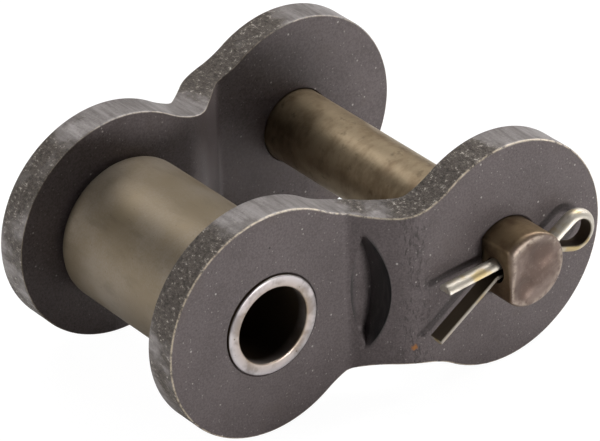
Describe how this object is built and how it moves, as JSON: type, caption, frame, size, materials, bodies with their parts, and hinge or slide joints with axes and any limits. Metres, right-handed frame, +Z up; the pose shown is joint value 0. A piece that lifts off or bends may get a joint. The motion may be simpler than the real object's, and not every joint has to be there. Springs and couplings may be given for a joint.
{
  "type": "offset link",
  "caption": "Offset link of a roller chain: cranked steel plates carry a roller on a bush at the narrow end and a connecting pin kept by a split pin at the wide end.",
  "frame": {"origin": "centre of the bush bore, midway between the two plates", "axes": "+X from the bush towards the connecting pin, along the pitch; -Y along the bush towards the split pin side; +Z up, across the plates' height"},
  "size_m": [0.0496, 0.0426, 0.0242],
  "materials": {
    "plate_steel": "dark satin",
    "bush_steel": "satin",
    "roller_steel": "satin",
    "pin_steel": "satin",
    "split_pin_steel": "bright"
  },
  "bodies": {
    "link": {"front_plate": "plate_steel", "rear_plate": "plate_steel", "bush": "bush_steel", "connecting_pin": "pin_steel", "split_pin": "split_pin_steel"},
    "roller": {"roller": "roller_steel"}
  },
  "joints": [
    {"name": "roller_spin", "type": "hinge", "parent": "link", "child": "roller", "pos_m": [0, 0, 0], "axis": [0, 1, 0], "continuous": true}
  ]
}
